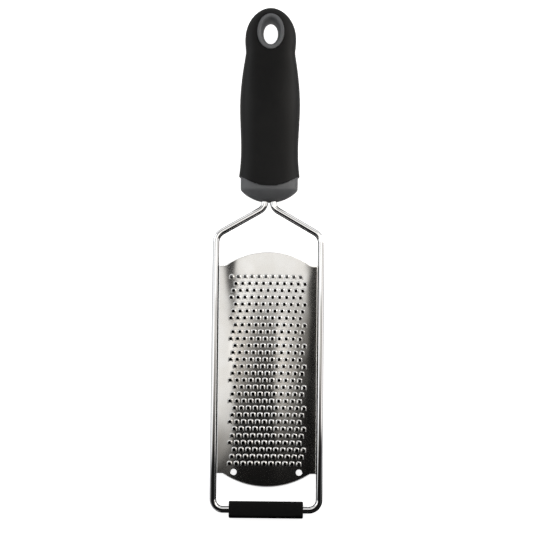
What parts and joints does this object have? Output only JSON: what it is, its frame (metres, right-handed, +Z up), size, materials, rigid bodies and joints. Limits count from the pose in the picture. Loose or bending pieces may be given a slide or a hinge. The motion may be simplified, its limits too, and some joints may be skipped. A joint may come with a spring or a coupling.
{
  "type": "hand-held cheese grater",
  "caption": "Flat fine grater: arched toothed steel plate between the rails of a bent chrome wire, soft dark grip with a grey collar and hanging eyelet, rubber foot at the tip.",
  "frame": {"origin": "middle of the surface that the grater lies on, under the middle of its box", "axes": "+Y from the tip to the handle's end, +X to the right seen from above, +Z up, out of the grating face"},
  "size_m": [0.0666, 0.305, 0.0246],
  "materials": {
    "chrome_wire": "bright polished chrome plate",
    "plate_steel": "satin stainless steel, brushed along its length",
    "grey_core": "satin moulded hard plastic, cool grey",
    "black_grip": "matt soft-touch elastomer, black",
    "black_foot": "matt moulded rubber, black"
  },
  "bodies": {
    "root": {"wire_frame": "chrome_wire", "grater_plate": "plate_steel", "handle_core": "grey_core", "grip_sleeve": "black_grip", "tip_foot": "black_foot"}
  },
  "joints": []
}
